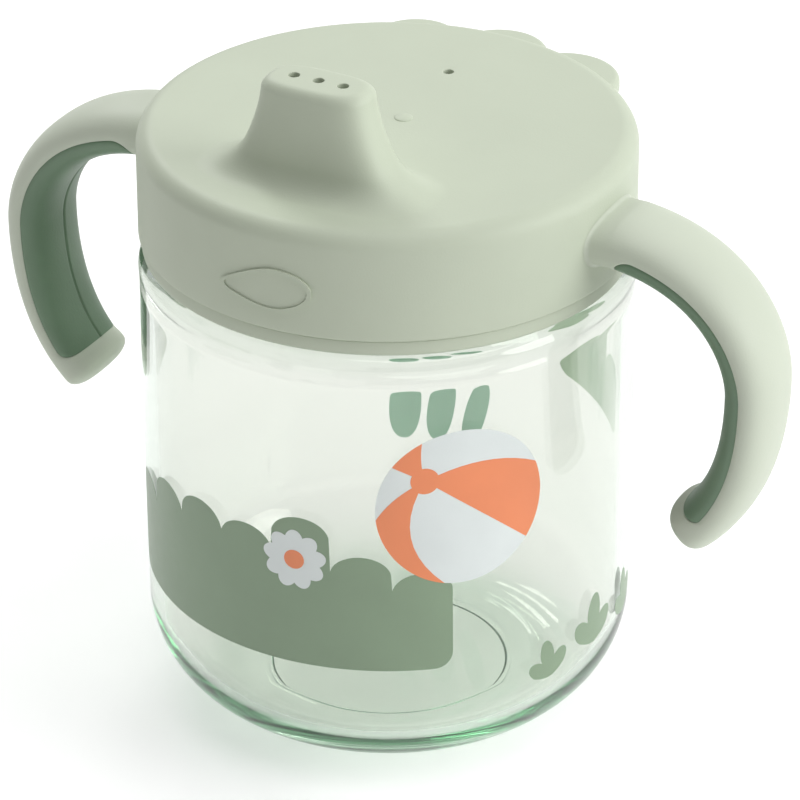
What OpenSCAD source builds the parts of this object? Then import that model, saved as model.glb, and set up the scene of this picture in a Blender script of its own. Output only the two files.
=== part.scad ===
// Two-handled sippy cup: a clear cup with a threaded neck and a screw-on spout lid.
// Millimetres. Z points up, the spout is at the front (-Y), the handles stand out along
// +X and -X, and the origin is the centre of the cup's flat underside.

/* [Cup] */
// Outer radius of the cup's wall at its shoulder
cup_r = 40.2; // [39.6:0.1:40.4]
// Narrowing of the wall's radius from the shoulder to the base
cup_draft = 0.25; // [0:0.05:0.5]
// Height of the cup's shoulder
shoulder_z = 80.5; // [76:0.5:84]
// Thickness of the cup's side wall
wall_t = 2.2; // [1.6:0.1:2.4]
// Thickness of the cup's floor
floor_t = 3.9; // [3:0.1:6]
// Radius of the rounded edge between the wall and the underside
base_round = 18; // [14:1:20]

/* [Neck and thread] */
// Outer radius of the threaded neck, without its thread
neck_r = 35; // [34.6:0.1:35]
// Height of the neck above the shoulder
neck_h = 14.5; // [14:0.5:15]
// Number of thread starts
thread_starts = 4; // [2:1:4]
// Rise of the thread in one full turn
thread_lead = 13.5; // [13:0.5:16]
// How far the cup's thread stands out from its neck
thread_h = 1.2; // [0.8:0.1:1.2]
// Angle that each thread covers
thread_angle = 150; // [90:10:160]

/* [Lid] */
// Outer radius of the lid's skirt
lid_r = 40; // [39.8:0.1:40.6]
// Height of the lid's skirt and top together
lid_h = 18.2; // [17.5:0.1:20.5]
// Radius of the lid's rounded top edge
lid_round = 3; // [1:0.5:3.5]
// Thickness of the lid's top
lid_t = 2.2; // [1.8:0.1:2.6]
// Diameter of the vent hole
vent_d = 1.7; // [1:0.1:2.5]
// Distance of the vent hole from the axis
vent_y = 21; // [19:0.5:22]

/* [Spout] */
// Height of the spout above the lid
spout_h = 16.6; // [14:0.1:20]
// Half of the spout's width at its tip
spout_tip_a = 9.1; // [8.6:0.1:10]
// Half of the spout's depth at its tip
spout_tip_b = 5.3; // [4.8:0.1:6]
// Distance of the spout's tip from the axis
spout_y = 22; // [21.5:0.5:23]
// Diameter of each drinking hole
sip_hole_d = 1.8; // [1:0.1:2.2]
// Distance between drinking holes
sip_hole_pitch = 4.3; // [3:0.1:4.5]

/* [Handles] */
// Distance of the handle's widest point from the cup's axis
handle_reach = 65.6; // [62:0.1:72]
// Height at which the handle leaves the lid
handle_root_z = 92; // [90:0.1:92.5]
// Height of the centre of the handle's tip
handle_tip_z = 44.7; // [40:0.1:50]
// Width of the handle at its root
handle_w = 16.2; // [14:0.2:18]
// Thickness of the handle
handle_t = 8.5; // [7:0.1:9]
// Depth of the soft grip at its middle
grip_depth = 4.1; // [3:0.1:4.6]

/* [Hidden] */

fit = 0.05;              // gap between pieces that stay together
run_gap = 0.25;          // gap between pieces that move on each other

rim_z = shoulder_z + neck_h;
neck_wall = 2;
bore_r = neck_r - neck_wall;

skirt_z = 83.5;          // lower edge of the lid's skirt
lid_top = skirt_z + lid_h;
plate_z = lid_top - lid_t;
skirt_in_r = lid_r - 2.2;
collar_r = skirt_in_r - fit;
collar_bore_r = neck_r + thread_h + run_gap;
collar_z = shoulder_z + 0.3;
collar_top = 97;
band_r = lid_r - 0.5;    // the collar's lower band, which shows under the skirt
bead_z = 95.4;           // snap bead that holds the collar in the cap

thread_pitch = thread_lead / thread_starts;
thread_z = 84.6;         // height of each cup thread's lower end
thread_base_w = 1.7;
thread_crest_w = 0.7;

seal_z = rim_z + fit;
seal_top = 97.15;
seal_in_r = 31.9;
seal_out_r = 36;

spout_top = lid_top + spout_h;
spout_flare_a = 8;       // how much further out each side of the spout is at the lid than at its tip
spout_flare_front = 3.2;
spout_flare_back = 3.5;
spout_edge = 1.8;        // radius of the rounded edge round the spout's tip
spout_square = 3.1;      // squareness of the spout's section: 2 is an ellipse

socket_y = -22.5;        // centre of the valve's oval socket
socket_half = 12.2;
socket_r = 6.6;
socket_z = 90.7;         // lower edge of both valve sockets
socket_wall = 1.8;
vent_socket_r = 3.3;

lobe_r = 34.4;           // distance of each lift lobe's centre from the axis
lobe_step = 24.3;        // angle between lift lobes
lobe_top = lid_top - 0.8;
lobe_t = 3;
lobe_edge = 1;

handle_root_r = 38.4;    // distance of the centre line's start from the cup's axis
handle_tip_r = 56.7;
handle_tip_lean = 46;    // how far the tip leans towards the cup
handle_tip_arm = 8.6;    // how long the centre line keeps the direction of its tip
handle_root_arm = 20.4;  // and of its root
handle_widest_z = 70.5;
widest_arm_up = 8;       // how long the centre line stays upright above its widest point
widest_arm_down = 10.5;  // and below it
handle_taper = 1.8;      // how much narrower the handle is at its tip
handle_square = 2.4;
handle_swell = 0.5;      // how far the end stop stands proud of the grip
grip_from = 0.048;       // stretch of the handle's length that the grip covers
grip_to = 0.962;
tenon_w = 9;
tenon_h = 4;

// ---- general functions ----

// Points of an arc round c, from angle a0 to angle a1
function arc(c, r, a0, a1, n = 10) =
    [for (i = [0:n]) let (a = a0 + (a1 - a0) * i / n) c + r * [cos(a), sin(a)]];

// A point of a superellipse with half widths a and b
function round_box(a, b, e, t) =
    [a * sign(cos(t)) * pow(abs(cos(t)), 2 / e), b * sign(sin(t)) * pow(abs(sin(t)), 2 / e)];

function smooth(t) = let (u = min(1, max(0, t))) u * u * (3 - 2 * u);

// A point of a cubic Bezier curve
function bezier(p, t) =
    pow(1 - t, 3) * p[0] + 3 * pow(1 - t, 2) * t * p[1]
    + 3 * (1 - t) * t * t * p[2] + pow(t, 3) * p[3];

// A solid through a list of rings, each with the same number of points, which run clockwise
// seen from the last ring
module skin(rings) {
    m = len(rings[0]);
    k = len(rings);
    sides = [for (i = [0:k - 2], j = [0:m - 1]) let (a = i * m + j, b = i * m + (j + 1) % m)
        each [[a, b, b + m], [a, b + m, a + m]]];
    polyhedron(
        points = [for (ring = rings) each ring],
        faces = concat([[for (j = [m - 1:-1:0]) j]], sides, [[for (j = [0:m - 1]) (k - 1) * m + j]]));
}

module turned(profile) {
    rotate_extrude($fn = 144) polygon(profile);
}

// A flat oval: a bar with round ends
module oval(half, r) {
    square([2 * (half - r), 2 * r], center = true);
    for (side = [-1, 1]) translate([side * (half - r), 0]) circle(r, $fn = 48);
}

// ---- thread ----

// Helical ridges round a wall of radius r. They stand out by h, or inwards where h is negative,
// and fade into the wall at both ends.
module thread(r, h, z) {
    steps = 26;
    root = 0.4;
    out = sign(h);
    for (start = [0:thread_starts - 1])
        rotate(start * 360 / thread_starts)
            skin([for (i = [0:steps])
                let (
                    a = thread_angle * i / steps,
                    zc = z + thread_lead * a / 360,
                    fade = smooth(min(i, steps - i) / 4),
                    crest = -0.2 + (abs(h) + 0.2) * fade,
                    section = [
                        [r - out * root, -thread_base_w / 2], [r + out * crest, -thread_crest_w / 2],
                        [r + out * crest, thread_crest_w / 2], [r - out * root, thread_base_w / 2]]
                )
                [for (j = [0:3]) let (p = section[out > 0 ? j : 3 - j])
                    [p[0] * cos(a), p[0] * sin(a), zc + p[1]]]]);
}

// ---- cup ----

module cup() {
    base_r = cup_r - cup_draft;
    edge = 2.8;
    lip = 0.9;
    corner_t = 3.7; // how much tighter the inner corner is than the outer one
    in_round = base_round - corner_t;
    in_base_r = base_r - wall_t;
    groove_r = base_r - base_round - 1;
    color([0.80, 0.93, 0.85, 0.4]) {
        turned(concat(
            [[0, 0], [groove_r - 1.2, 0]],
            arc([groove_r, 0], 0.8, 180, 0, 6),
            arc([base_r - base_round, base_round], base_round, -90, 0, 14),
            arc([cup_r - edge, shoulder_z - edge], edge, 0, 90, 8),
            arc([neck_r + 1, shoulder_z + 1], 1, 270, 180, 4),
            arc([neck_r - lip, rim_z - lip], lip, 0, 90, 5),
            arc([bore_r + 0.6, rim_z - 0.6], 0.6, 90, 180, 4),
            [[bore_r, shoulder_z + 0.5]],
            arc([cup_r - wall_t - 3, shoulder_z - 6.5], 3, 60, 0, 6),
            arc([in_base_r - in_round, floor_t + in_round], in_round, 0, -90, 14),
            [[0, floor_t]]));
        thread(neck_r, thread_h, thread_z);
    }
}

// ---- seal ring ----

module seal_ring() {
    edge = 0.6;
    color([0.93, 0.94, 0.91])
        turned(concat(
            arc([seal_in_r + edge, seal_z + edge], edge, 180, 270, 4),
            arc([seal_out_r - edge, seal_z + edge], edge, 270, 360, 4),
            arc([seal_out_r - edge, seal_top - edge], edge, 0, 90, 4),
            arc([seal_in_r + edge, seal_top - edge], edge, 90, 180, 4)));
}

// ---- lid ----

// Threaded ring that snaps up into the cap. Its lower band shows under the skirt.
module collar() {
    color([0.66, 0.71, 0.62]) {
        turned([
            [collar_bore_r, collar_z], [band_r - 0.4, collar_z], [band_r, collar_z + 0.4],
            [band_r, skirt_z - fit], [collar_r, skirt_z - fit],
            [collar_r, bead_z - 0.7], [collar_r + 0.3, bead_z], [collar_r, bead_z + 0.7],
            [collar_r, collar_top - 0.5], [collar_r - 0.5, collar_top], [collar_bore_r, collar_top]]);
        thread(collar_bore_r, -thread_h, thread_z + thread_pitch / 2);
    }
}

// Outside of the spout: rounded sections that widen towards the lid
module spout_outside() {
    sides = 48;
    function section(z, inset) =
        let (
            u = max(0, (spout_top - z) / spout_h),
            a = spout_tip_a + spout_flare_a * u * u - inset,
            front = spout_tip_b + spout_flare_front * u - inset,
            back = spout_tip_b + spout_flare_back * u * u - inset
        )
        [for (j = [0:sides - 1])
            let (t = -360 * j / sides, p = round_box(a, sin(t) < 0 ? front : back, spout_square, t))
            [p[0], p[1] - spout_y, z]];
    body_steps = 14;
    edge_steps = 5;
    z0 = lid_top - 0.8;
    z1 = spout_top - spout_edge;
    skin(concat(
        [for (i = [0:body_steps]) section(z0 + (z1 - z0) * i / body_steps, 0)],
        [for (i = [1:edge_steps]) let (t = 90 * i / edge_steps)
            section(z1 + spout_edge * sin(t), spout_edge * (1 - cos(t)))]));
}

// Drinking channel inside the spout, open towards the valve
module spout_inside() {
    sides = 40;
    steps = 6;
    z0 = plate_z - 0.6;
    z1 = spout_top - 2;
    skin([for (i = [0:steps])
        let (
            u = i / steps,
            a = socket_half + (spout_tip_a - 2 - socket_half) * u,
            b = socket_r + (spout_tip_b - 2 - socket_r) * u
        )
        [for (j = [0:sides - 1]) let (p = round_box(a, b, spout_square, -360 * j / sides))
            [p[0], socket_y - (socket_y + spout_y) * u + p[1], z0 + (z1 - z0) * u]]]);
}

// Three rounded lobes at the back edge, for a thumb to push against
module lift_lobes() {
    lobe_sizes = [7.3, 8, 9];
    difference() {
        for (i = [0:2])
            rotate(-lobe_step * (i - 1) - 4)
                translate([0, lobe_r, lobe_top - lobe_t])
                    turned(concat(
                        [[0, 0]],
                        arc([lobe_sizes[i] - lobe_edge, lobe_edge], lobe_edge, -90, 0, 4),
                        arc([lobe_sizes[i] - lobe_edge, lobe_t - lobe_edge], lobe_edge, 0, 90, 4),
                        [[0, lobe_t]]));
        translate([0, 0, skirt_z]) cylinder(h = lid_top, r = skirt_in_r + 1, $fn = 144);
    }
}

module cap_shell() {
    seat_in_r = 31.6;
    seat_out_r = 36.3;
    seat_z = seal_top + fit;
    groove = 0.35;
    turned(concat(
        [[skirt_in_r, skirt_z], [lid_r - 0.3, skirt_z], [lid_r, skirt_z + 0.3]],
        arc([lid_r - lid_round, lid_top - lid_round], lid_round, 0, 90, 8),
        [[0, lid_top], [0, plate_z], [seat_in_r, plate_z], [seat_in_r, seat_z],
         [seat_out_r, seat_z], [seat_out_r, plate_z], [skirt_in_r, plate_z],
         [skirt_in_r, bead_z + 0.75], [skirt_in_r + groove, bead_z], [skirt_in_r, bead_z - 0.75]]));
}

// Sockets under the cap that the valve plugs into: an oval one and a round one
module valve_sockets(grow, z0, z1) {
    translate([0, socket_y, z0]) linear_extrude(z1 - z0) oval(socket_half + grow, socket_r + grow);
    translate([0, vent_y, z0]) cylinder(h = z1 - z0, r = vent_socket_r + grow, $fn = 48);
}

module cap() {
    color([0.80, 0.84, 0.77])
        difference() {
            union() {
                cap_shell();
                lift_lobes();
                spout_outside();
                valve_sockets(socket_wall, socket_z, plate_z + 0.5);
            }
            valve_sockets(0, socket_z - 1, plate_z - 0.3);
            spout_inside();
            for (i = [-1:1])
                translate([i * sip_hole_pitch, -spout_y, spout_top - 4])
                    cylinder(h = 6, d = sip_hole_d, $fn = 24);
            translate([0, vent_y, plate_z - 1]) cylinder(h = 5, d = vent_d, $fn = 24);
            for (side = [0, 1]) mirror([side, 0, 0]) tenon(fit, skirt_in_r - 1);
        }
}

// ---- handles ----

// Centre line of a handle in the plane of the cup's axis, with t from 0 at its root to 1 at its tip
function handle_line(t) =
    t < 0.55
    ? bezier([[handle_root_r, handle_root_z], [handle_root_r + handle_root_arm, handle_root_z],
              [handle_reach, handle_widest_z + widest_arm_up], [handle_reach, handle_widest_z]], t / 0.55)
    : let (tip = [handle_tip_r, handle_tip_z], up = [sin(handle_tip_lean), cos(handle_tip_lean)])
      bezier([[handle_reach, handle_widest_z], [handle_reach, handle_widest_z - widest_arm_down],
              tip + handle_tip_arm * up, tip], (t - 0.55) / 0.45);

// Unit vector along the centre line
function handle_dir(t) =
    let (a = handle_line(max(0, t - 0.004)), b = handle_line(min(1, t + 0.004)))
    (b - a) / norm(b - a);

// A point beside the centre line: n towards the finger gap, y across the handle
function beside_line(t, n, y, along = 0) =
    let (c = handle_line(t), d = handle_dir(t), p = c + n * [d[1], -d[0]] + along * d)
    [p[0], y, p[1]];

function handle_half_w(t) = (handle_w - handle_taper * t) / 2;

// Half the thickness, on the outer side or on the side that faces the fingers
function handle_half_t(t, inner) =
    handle_t / 2 + (inner ? handle_swell * smooth((t - grip_to) / (1 - grip_to)) : 0);

module handle_tube() {
    sides = 32;
    steps = 34;
    dome = 2.7;
    dome_steps = 6;
    function ring(t, size, along) =
        [for (j = [0:sides - 1])
            let (
                a = -360 * j / sides,
                p = round_box(handle_half_t(t, cos(a) > 0), handle_half_w(t), handle_square, a)
            )
            beside_line(t, p[0] * size, p[1] * size, along)];
    skin(concat(
        [for (i = [0:steps]) ring(i / steps, 1, 0)],
        [for (i = [1:dome_steps]) let (p = round_box(1, dome, 2.6, 86 * i / dome_steps))
            ring(1, p[0], p[1])]));
}

// The space beside the centre line that the soft grip fills
module grip_space() {
    steps = 30;
    past = handle_t;
    end_run = 0.04;
    skin([for (i = [0:steps])
        let (
            t = grip_from + (grip_to - grip_from) * (1 - cos(180 * i / steps)) / 2,
            end = max(0, min(1, min(t - grip_from, grip_to - t) / end_run)),
            rise = 1 - sqrt(1 - pow(1 - end, 2)),
            floor_n = handle_t / 2 - grip_depth + (grip_depth + 0.5) * rise
        )
        [beside_line(t, floor_n, handle_w), beside_line(t, past, handle_w),
         beside_line(t, past, -handle_w), beside_line(t, floor_n, -handle_w)]]);
}

// The peg at a handle's root that fits a window in the cap's skirt
module tenon(grow, from_r) {
    translate([from_r, -tenon_w / 2 - grow, handle_root_z - tenon_h / 2 - grow])
        cube([lid_r + 2 - from_r, tenon_w + 2 * grow, tenon_h + 2 * grow]);
}

module handle_shell() {
    difference() {
        handle_tube();
        cylinder(h = lid_top, r = lid_r + fit, $fn = 144);
        grip_space();
    }
    tenon(0, skirt_in_r + 0.1);
}

module grip() {
    intersection() {
        handle_tube();
        grip_space();
    }
}

module right_handle() { color([0.76, 0.80, 0.72]) handle_shell(); }
module left_handle() { color([0.76, 0.80, 0.72]) mirror([1, 0, 0]) handle_shell(); }
module right_grip() { color([0.40, 0.52, 0.42]) grip(); }
module left_grip() { color([0.40, 0.52, 0.42]) mirror([1, 0, 0]) grip(); }

// ---- valve ----

// One soft piece: an oval plug with a slit for the spout, a small plug for the vent and a
// strap that joins them
module valve() {
    gap = 0.1;
    strap_z = socket_z - 1.7;
    strap_top = socket_z - 0.1;
    plug_h = 6.5;
    plug_wall = 1.4;
    dome_t = 0.8;
    slit = 0.3;
    strap_w = 7;
    color([0.93, 0.94, 0.91])
        difference() {
            union() {
                translate([0, socket_y, strap_z]) {
                    linear_extrude(strap_top - strap_z) oval(socket_half + 1.6, socket_r + 1.6);
                    linear_extrude(plug_h) oval(socket_half - gap, socket_r - gap);
                }
                translate([0, vent_y, strap_z]) {
                    cylinder(h = strap_top - strap_z, r = vent_socket_r + 1.8, $fn = 48);
                    cylinder(h = plug_h, r = vent_socket_r - gap, $fn = 48);
                }
                translate([-strap_w / 2, socket_y, strap_z])
                    cube([strap_w, vent_y - socket_y, strap_top - strap_z]);
            }
            translate([0, socket_y, strap_z - 1])
                linear_extrude(plug_h + 1 - dome_t)
                    oval(socket_half - gap - plug_wall, socket_r - gap - plug_wall);
            translate([-4, socket_y - slit / 2, strap_z]) cube([8, slit, plug_h + 1]);
            translate([0, vent_y, strap_z - 1]) cylinder(h = plug_h, r = 1.6, $fn = 32);
            translate([-1, vent_y - slit / 2, strap_z]) cube([2, slit, plug_h + 1]);
        }
}

cup();
seal_ring();
collar();
cap();
left_handle();
right_handle();
left_grip();
right_grip();
valve();
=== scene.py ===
"""A two-handled sippy cup: a clear cup, a sage lid with a spout, and handles with soft grips.

Sizes and outlines are in millimetres, and new_mesh(), block_mesh() and moved() turn them into
metres. The camera, the lights and Blender's own values are in metres. Z points up, the spout is at
the front (-Y), and the handles stand out along +X and -X.
"""
import bpy
import bmesh
import math
from mathutils import Matrix, Vector
from mathutils.geometry import tessellate_polygon


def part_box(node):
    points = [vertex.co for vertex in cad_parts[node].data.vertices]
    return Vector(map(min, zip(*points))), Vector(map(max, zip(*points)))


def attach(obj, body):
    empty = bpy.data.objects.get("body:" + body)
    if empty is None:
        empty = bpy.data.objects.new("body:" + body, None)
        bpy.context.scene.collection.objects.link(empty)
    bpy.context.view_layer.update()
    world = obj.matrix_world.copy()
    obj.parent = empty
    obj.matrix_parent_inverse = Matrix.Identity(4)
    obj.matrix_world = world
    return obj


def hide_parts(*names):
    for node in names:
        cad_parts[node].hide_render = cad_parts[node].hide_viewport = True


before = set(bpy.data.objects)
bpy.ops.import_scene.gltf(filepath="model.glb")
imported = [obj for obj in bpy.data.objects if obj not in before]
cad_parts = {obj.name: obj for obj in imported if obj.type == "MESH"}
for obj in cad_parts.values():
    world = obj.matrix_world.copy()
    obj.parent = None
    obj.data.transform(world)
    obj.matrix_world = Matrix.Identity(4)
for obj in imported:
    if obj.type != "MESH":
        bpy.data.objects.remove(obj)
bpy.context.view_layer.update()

MM = 0.001


def node_box(node):
    lo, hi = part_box(node)
    return lo / MM, hi / MM


# ---- sizes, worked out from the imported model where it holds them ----

CUP_HI = node_box("cup")[1]
CAP_LO, CAP_HI = node_box("cap")
COLLAR_LO, COLLAR_HI = node_box("collar")
SEAL_LO, SEAL_HI = node_box("seal_ring")
HANDLE_LO, HANDLE_HI = node_box("right_handle")
VALVE_LO, VALVE_HI = node_box("valve")

TURN = 240                      # segments round every turned piece

CUP_R = CUP_HI.x                # outer radius of the wall at the shoulder
CUP_DRAFT = 0.25
CUP_BASE_R = CUP_R - CUP_DRAFT
RIM_Z = CUP_HI.z
NECK_H = 14.5
SHOULDER_Z = RIM_Z - NECK_H
SHOULDER_EDGE = 2.8
NECK_R = 35.0
BORE_R = 33.0
WALL_T = 2.2
FLOOR_T = 3.9
CORNER_T = 3.7                  # how much tighter the cup's inner corner is than the outer one
BASE_ROUND = 18.0

THREAD_STARTS = 4
THREAD_LEAD = 13.5
THREAD_H = 1.2
THREAD_ANGLE = 150.0
THREAD_Z = 84.6
THREAD_BASE_W = 1.7
THREAD_CREST_W = 0.7
THREAD_FADE = 23.0              # angle over which each end of a thread rises

LID_R = CAP_HI.x
SKIRT_Z = CAP_LO.z
SPOUT_TOP = CAP_HI.z
LID_TOP = 101.7
LID_T = 2.2
PLATE_Z = LID_TOP - LID_T
LID_ROUND = 3.0
SKIRT_IN_R = LID_R - 2.2
BEAD_Z = 95.4
SEAT_IN_R = 31.6
SEAT_OUT_R = 36.3
SEAT_Z = SEAL_HI.z + 0.05
VENT_Y = 21.0
VENT_D = 1.7

SPOUT_Y = -22.2
SPOUT_TIP_A = 9.1               # half widths of the spout's tip
SPOUT_TIP_B = 5.1
SPOUT_EDGE = 1.9
SPOUT_SQUARE = 3.1
SIP_HOLE_D = 1.8
SIP_HOLE_PITCH = 4.3

SOCKET_Y = -22.5
SOCKET_HALF = 12.2
SOCKET_R = 6.6
SOCKET_Z = 90.7
SOCKET_WALL = 1.8
VENT_SOCKET_R = 3.3

LOBE_SIZES = (7.3, 8.0, 9.0)
LOBE_R = 34.4
LOBE_STEP = 24.3
LOBE_TOP = LID_TOP - 0.8
LOBE_T = 3.0
LOBE_EDGE = 1.0
LOBE_TURN = 4.0                 # how far the middle lobe is turned from the back towards +X

HANDLE_ROOT_R = 38.4
HANDLE_ROOT_Z = 92.0
HANDLE_ROOT_ARM = 20.4          # how long the centre line keeps the direction of its root
HANDLE_T = 8.5
HANDLE_W = HANDLE_HI.y - HANDLE_LO.y
HANDLE_TAPER = 1.8
HANDLE_SQUARE = 2.4
HANDLE_REACH = HANDLE_HI.x - HANDLE_T / 2
HANDLE_WIDEST_Z = 70.5
HANDLE_WIDEST_T = 0.55          # how far along the handle its widest point is, from 0 to 1
WIDEST_ARM_UP = 8.0             # how long the centre line stays upright above its widest point
WIDEST_ARM_DOWN = 10.5          # and below it
HANDLE_TIP = (56.7, 44.7)
HANDLE_TIP_LEAN = 46.0
HANDLE_TIP_ARM = 8.6
HANDLE_SWELL = 0.5
GRIP_DEPTH = 4.1
GRIP_FROM = 0.048
GRIP_TO = 0.962
GRIP_END_RUN = 0.04             # stretch over which each end of the grip rounds off
GRIP_GAP = 0.04                 # gap between the grip and its recess
HANDLE_LENGTH = 81.0
SECTION_STEPS = 72              # steps round the shell's or the grip's part of the section
CHORD_STEPS = 8                 # steps along the grip's straight floor
TENON_W = 9.0
TENON_H = 4.0


# ---- curves and outlines ----

def arc(centre, r, a0, a1, n=10):
    """Points of an arc from angle a0 to angle a1, in degrees."""
    points = []
    for i in range(n + 1):
        a = math.radians(a0 + (a1 - a0) * i / n)
        points.append((centre[0] + r * math.cos(a), centre[1] + r * math.sin(a)))
    return points


def line(start, end, n):
    """Points along a straight line, without its last one."""
    return [tuple(s + (e - s) * i / n for s, e in zip(start, end)) for i in range(n)]


def smooth(t):
    u = min(1.0, max(0.0, t))
    return u * u * (3 - 2 * u)


def bezier(p, t):
    weights = ((1 - t) ** 3, 3 * (1 - t) ** 2 * t, 3 * (1 - t) * t * t, t ** 3)
    return tuple(sum(w * q[k] for w, q in zip(weights, p)) for k in range(2))


def signed_power(x, e):
    return math.copysign(abs(x) ** e, x)


def round_box(a, b, square, t):
    """A point of a superellipse with half widths a and b, at the angle t in radians."""
    return a * signed_power(math.cos(t), 2 / square), b * signed_power(math.sin(t), 2 / square)


def oval_point(half, r, t):
    """A point of a flat oval, a bar with round ends, in the direction of the angle t."""
    x, y = half * math.cos(t), r * math.sin(t)
    flat = half - r
    if abs(y) > 1e-9 and abs(x) * r / abs(y) <= flat:
        return x * r / abs(y), math.copysign(r, y)
    c = math.copysign(flat, x)
    aa = x * x + y * y
    bb = -2 * x * c
    cc = c * c - r * r
    s = (-bb + math.sqrt(max(0.0, bb * bb - 4 * aa * cc))) / (2 * aa)
    return x * s, y * s


# ---- meshes ----

def new_mesh(name, points, faces):
    """A mesh in metres, with doubled points merged and its faces turned outwards."""
    bm = bmesh.new()
    verts = [bm.verts.new(Vector(p) * MM) for p in points]
    for face in faces:
        bm.faces.new([verts[i] for i in face])
    bmesh.ops.remove_doubles(bm, verts=bm.verts, dist=2e-7)
    bmesh.ops.dissolve_degenerate(bm, edges=bm.edges, dist=1e-7)
    bmesh.ops.recalc_face_normals(bm, faces=bm.faces)
    mesh = bpy.data.meshes.new(name)
    bm.to_mesh(mesh)
    bm.free()
    return mesh


def new_object(name, mesh):
    obj = bpy.data.objects.new(name, mesh)
    bpy.context.scene.collection.objects.link(obj)
    return obj


def around(n=TURN):
    """Angles in radians, evenly round a full turn."""
    return [2 * math.pi * i / n for i in range(n)]


def band_faces(m, k, ring_closes, skin_closes):
    """Faces between k neighbouring rings of m points, which may close round either way."""
    faces = []
    for i in range(k if skin_closes else k - 1):
        a, b = i * m, (i + 1) % k * m
        for j in range(m if ring_closes else m - 1):
            n = (j + 1) % m
            faces.append((a + j, a + n, b + n, b + j))
    return faces


def rings_mesh(name, rings):
    """A skin through rings of equally many points, with a face over each end."""
    m, k = len(rings[0]), len(rings)
    points = [p for ring in rings for p in ring]
    faces = band_faces(m, k, True, False)
    faces.append(tuple(range(m)))
    faces.append(tuple((k - 1) * m + j for j in range(m)))
    return new_mesh(name, points, faces)


def turned_mesh(name, profile, loop=True, bulge=None, segments=TURN):
    """A profile of (radius, height) turned about Z.

    With loop, the profile's last point joins its first. bulge(angle, r, z) may change the radius.
    """
    points = []
    for a in around(segments):
        for r, z in profile:
            rr = r + bulge(math.degrees(a), r, z) if bulge else r
            points.append((rr * math.cos(a), rr * math.sin(a), z))
    return new_mesh(name, points, band_faces(len(profile), segments, loop, True))


def combine(obj, other, operation):
    """Unites obj with other, or cuts other out of it, and deletes other."""
    modifier = obj.modifiers.new("combine", "BOOLEAN")
    modifier.operation = operation
    modifier.solver = "EXACT"
    modifier.object = other
    depsgraph = bpy.context.evaluated_depsgraph_get()
    mesh = bpy.data.meshes.new_from_object(obj.evaluated_get(depsgraph))
    obj.modifiers.remove(modifier)
    obj.data = mesh
    bpy.data.objects.remove(other)


def unite(obj, mesh):
    combine(obj, new_object("tool", mesh), "UNION")


def cut(obj, mesh):
    combine(obj, new_object("tool", mesh), "DIFFERENCE")


def moved(mesh, x, y, z=0.0):
    """The mesh, moved by a distance in millimetres."""
    mesh.transform(Matrix.Translation(Vector((x, y, z)) * MM))
    return mesh


def block_mesh(lo, hi, edge=0.3):
    """A box with bevelled edges."""
    bm = bmesh.new()
    bmesh.ops.create_cube(bm, size=1)
    size = [h - l for l, h in zip(lo, hi)]
    middle = [(h + l) / 2 for l, h in zip(lo, hi)]
    for v in bm.verts:
        v.co = Vector(c * s + m for c, s, m in zip(v.co, size, middle)) * MM
    bmesh.ops.bevel(bm, geom=bm.edges[:], offset=edge * MM, segments=3, affect="EDGES", profile=0.5)
    mesh = bpy.data.meshes.new("block")
    bm.to_mesh(mesh)
    bm.free()
    return mesh


def finish_piece(obj, body, material, nodes=(), angle=32):
    """Gives a piece its shading, material and body, and hides the model's parts that it stands in for."""
    obj.data.materials.clear()
    obj.data.materials.append(material)
    obj.data.shade_smooth()
    obj.data.set_sharp_from_angle(angle=math.radians(angle))
    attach(obj, body)
    if nodes:
        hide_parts(*nodes)
    return obj


# ---- materials ----

def new_material(name):
    """A material and its parts: the node tree, the Principled shader and the output."""
    material = bpy.data.materials.new(name)
    material.use_nodes = True
    tree = material.node_tree
    return material, tree, tree.nodes["Principled BSDF"], tree.nodes["Material Output"]


def noise(tree, scale, detail):
    coords = tree.nodes.new("ShaderNodeTexCoord")
    node = tree.nodes.new("ShaderNodeTexNoise")
    node.inputs["Scale"].default_value = scale
    node.inputs["Detail"].default_value = detail
    tree.links.new(coords.outputs["Object"], node.inputs["Vector"])
    return node.outputs["Fac"]


def ramp(tree, value, low, high, start=0.3, end=0.7):
    """Two colours or greys across a value."""
    node = tree.nodes.new("ShaderNodeValToRGB")
    node.color_ramp.elements[0].position = start
    node.color_ramp.elements[1].position = end
    node.color_ramp.elements[0].color = (*low, 1)
    node.color_ramp.elements[1].color = (*high, 1)
    tree.links.new(value, node.inputs["Fac"])
    return node.outputs["Color"]


def remap(tree, value, low, high):
    node = tree.nodes.new("ShaderNodeMapRange")
    node.inputs["To Min"].default_value = low
    node.inputs["To Max"].default_value = high
    tree.links.new(value, node.inputs["Value"])
    return node.outputs["Result"]


def bump(tree, shader, height, distance):
    node = tree.nodes.new("ShaderNodeBump")
    node.inputs["Distance"].default_value = distance
    tree.links.new(height, node.inputs["Height"])
    tree.links.new(node.outputs["Normal"], shader.inputs["Normal"])


def shade_pair(colour, spread):
    """A colour a little darker and a little lighter, by a share of itself."""
    return [c * (1 - spread) for c in colour], [min(1.0, c * (1 + spread)) for c in colour]


def moulded_plastic(name, colour, roughness=0.5, spread=0.02, grain=0.00002):
    """Satin moulded plastic: faint flow marks in the colour and a fine spark-eroded grain."""
    material, tree, shader, _ = new_material(name)
    low, high = shade_pair(colour, spread)
    tree.links.new(ramp(tree, noise(tree, 45, 4), low, high), shader.inputs["Base Color"])
    tree.links.new(remap(tree, noise(tree, 160, 4), roughness - 0.06, roughness + 0.06),
                   shader.inputs["Roughness"])
    bump(tree, shader, noise(tree, 3200, 2), grain)
    shader.inputs["IOR"].default_value = 1.49
    shader.inputs["Specular IOR Level"].default_value = 0.3
    return material


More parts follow.
